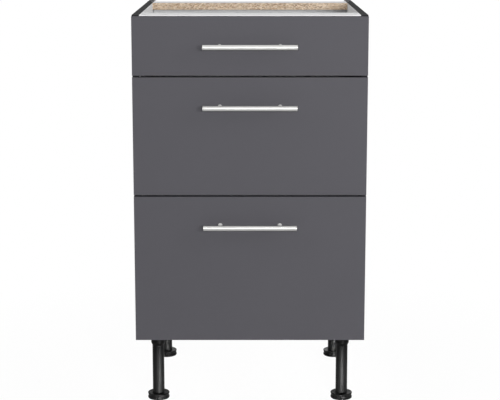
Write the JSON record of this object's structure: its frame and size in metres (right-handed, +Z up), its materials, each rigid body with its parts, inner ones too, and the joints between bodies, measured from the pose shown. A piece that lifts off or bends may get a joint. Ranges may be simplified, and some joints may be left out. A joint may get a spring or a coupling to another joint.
{
  "type": "base cabinet with drawers",
  "caption": "Kitchen base cabinet on adjustable legs: dark matt fronts with bar handles, drawers on full-extension runners, open top with flat rails.",
  "frame": {"origin": "on the floor, in the middle of the whole cabinet with its handles", "axes": "+X to the right, +Y to the back, +Z up; the fronts face -Y"},
  "size_m": [0.5, 0.62, 0.87],
  "materials": {
    "anthracite_laminate": "matt melamine laminate on chipboard",
    "white_laminate": "white melamine laminate on chipboard",
    "white_hardboard": "white lacquered hardboard",
    "zinc_fittings": "die-cast zinc",
    "zinc_screws": "zinc plated",
    "beech": "turned, raw",
    "black_plastic": "moulded, satin",
    "galvanised_rail": "galvanised, roll formed",
    "nylon": "moulded",
    "coated_steel": "powder coated",
    "bracket_plastic": "moulded",
    "stainless_steel": "fine brushed"
  },
  "bodies": {
    "cabinet": {"side_panel_left": "anthracite_laminate", "side_panel_right": "anthracite_laminate", "bottom_panel": "white_laminate", "front_rail": "white_laminate", "rear_rail": "white_laminate", "back_panel": "white_hardboard", "cam_housings": "zinc_fittings", "cam_bolts": "zinc_screws", "dowels": "beech", "wood_screws": "zinc_screws", "leg_sockets": "black_plastic", "leg_tube_front_left": "black_plastic", "leg_tube_front_right": "black_plastic", "leg_tube_rear_left": "black_plastic", "leg_tube_rear_right": "black_plastic", "cabinet_rails_1": "galvanised_rail", "cabinet_rails_2": "galvanised_rail", "cabinet_rails_3": "galvanised_rail"},
    "drawer_1": {"drawer_front_1": "anthracite_laminate", "handle_1": "stainless_steel", "handle_screws_1": "zinc_screws", "drawer_side_left_1": "coated_steel", "drawer_side_right_1": "coated_steel", "drawer_bottom_1": "white_laminate", "drawer_back_1": "white_laminate", "drawer_rails_1": "galvanised_rail", "front_brackets_1": "bracket_plastic"},
    "middle_rails_1": {"middle_rails_1": "galvanised_rail"},
    "outer_roller_cages_1": {"outer_roller_cages_1": "nylon"},
    "inner_roller_cages_1": {"inner_roller_cages_1": "nylon"},
    "drawer_2": {"drawer_front_2": "anthracite_laminate", "handle_2": "stainless_steel", "handle_screws_2": "zinc_screws", "drawer_side_left_2": "coated_steel", "drawer_side_right_2": "coated_steel", "drawer_bottom_2": "white_laminate", "drawer_back_2": "white_laminate", "drawer_rails_2": "galvanised_rail", "front_brackets_2": "bracket_plastic", "gallery_rods_2": "coated_steel"},
    "middle_rails_2": {"middle_rails_2": "galvanised_rail"},
    "outer_roller_cages_2": {"outer_roller_cages_2": "nylon"},
    "inner_roller_cages_2": {"inner_roller_cages_2": "nylon"},
    "drawer_3": {"drawer_front_3": "anthracite_laminate", "handle_3": "stainless_steel", "handle_screws_3": "zinc_screws", "drawer_side_left_3": "coated_steel", "drawer_side_right_3": "coated_steel", "drawer_bottom_3": "white_laminate", "drawer_back_3": "white_laminate", "drawer_rails_3": "galvanised_rail", "front_brackets_3": "bracket_plastic", "gallery_rods_3": "coated_steel"},
    "middle_rails_3": {"middle_rails_3": "galvanised_rail"},
    "outer_roller_cages_3": {"outer_roller_cages_3": "nylon"},
    "inner_roller_cages_3": {"inner_roller_cages_3": "nylon"},
    "foot_front_left": {"foot_front_left": "black_plastic"},
    "foot_front_right": {"foot_front_right": "black_plastic"},
    "foot_rear_left": {"foot_rear_left": "black_plastic"},
    "foot_rear_right": {"foot_rear_right": "black_plastic"}
  },
  "joints": [
    {"name": "drawer_1_slide", "type": "slide", "parent": "cabinet", "child": "drawer_1", "axis": [0, -1, 0], "range_m": [0, 0.44]},
    {"name": "middle_rails_1_slide", "type": "slide", "parent": "cabinet", "child": "middle_rails_1", "axis": [0, -1, 0], "range_m": [0, 0.22]},
    {"name": "outer_roller_cages_1_slide", "type": "slide", "parent": "cabinet", "child": "outer_roller_cages_1", "axis": [0, -1, 0], "range_m": [0, 0.11]},
    {"name": "inner_roller_cages_1_slide", "type": "slide", "parent": "cabinet", "child": "inner_roller_cages_1", "axis": [0, -1, 0], "range_m": [0, 0.33]},
    {"name": "drawer_2_slide", "type": "slide", "parent": "cabinet", "child": "drawer_2", "axis": [0, -1, 0], "range_m": [0, 0.44]},
    {"name": "middle_rails_2_slide", "type": "slide", "parent": "cabinet", "child": "middle_rails_2", "axis": [0, -1, 0], "range_m": [0, 0.22]},
    {"name": "outer_roller_cages_2_slide", "type": "slide", "parent": "cabinet", "child": "outer_roller_cages_2", "axis": [0, -1, 0], "range_m": [0, 0.11]},
    {"name": "inner_roller_cages_2_slide", "type": "slide", "parent": "cabinet", "child": "inner_roller_cages_2", "axis": [0, -1, 0], "range_m": [0, 0.33]},
    {"name": "drawer_3_slide", "type": "slide", "parent": "cabinet", "child": "drawer_3", "axis": [0, -1, 0], "range_m": [0, 0.44]},
    {"name": "middle_rails_3_slide", "type": "slide", "parent": "cabinet", "child": "middle_rails_3", "axis": [0, -1, 0], "range_m": [0, 0.22]},
    {"name": "outer_roller_cages_3_slide", "type": "slide", "parent": "cabinet", "child": "outer_roller_cages_3", "axis": [0, -1, 0], "range_m": [0, 0.11]},
    {"name": "inner_roller_cages_3_slide", "type": "slide", "parent": "cabinet", "child": "inner_roller_cages_3", "axis": [0, -1, 0], "range_m": [0, 0.33]},
    {"name": "foot_front_left_adjust", "type": "slide", "parent": "cabinet", "child": "foot_front_left", "axis": [0, 0, -1], "range_m": [0, 0.02]},
    {"name": "foot_front_right_adjust", "type": "slide", "parent": "cabinet", "child": "foot_front_right", "axis": [0, 0, -1], "range_m": [0, 0.02]},
    {"name": "foot_rear_left_adjust", "type": "slide", "parent": "cabinet", "child": "foot_rear_left", "axis": [0, 0, -1], "range_m": [0, 0.02]},
    {"name": "foot_rear_right_adjust", "type": "slide", "parent": "cabinet", "child": "foot_rear_right", "axis": [0, 0, -1], "range_m": [0, 0.02]}
  ],
  "couplings": [
    {"joint": "middle_rails_1_slide", "follows": "drawer_1_slide", "ratio": 0.5},
    {"joint": "outer_roller_cages_1_slide", "follows": "drawer_1_slide", "ratio": 0.25},
    {"joint": "inner_roller_cages_1_slide", "follows": "drawer_1_slide", "ratio": 0.75},
    {"joint": "middle_rails_2_slide", "follows": "drawer_2_slide", "ratio": 0.5},
    {"joint": "outer_roller_cages_2_slide", "follows": "drawer_2_slide", "ratio": 0.25},
    {"joint": "inner_roller_cages_2_slide", "follows": "drawer_2_slide", "ratio": 0.75},
    {"joint": "middle_rails_3_slide", "follows": "drawer_3_slide", "ratio": 0.5},
    {"joint": "outer_roller_cages_3_slide", "follows": "drawer_3_slide", "ratio": 0.25},
    {"joint": "inner_roller_cages_3_slide", "follows": "drawer_3_slide", "ratio": 0.75}
  ]
}
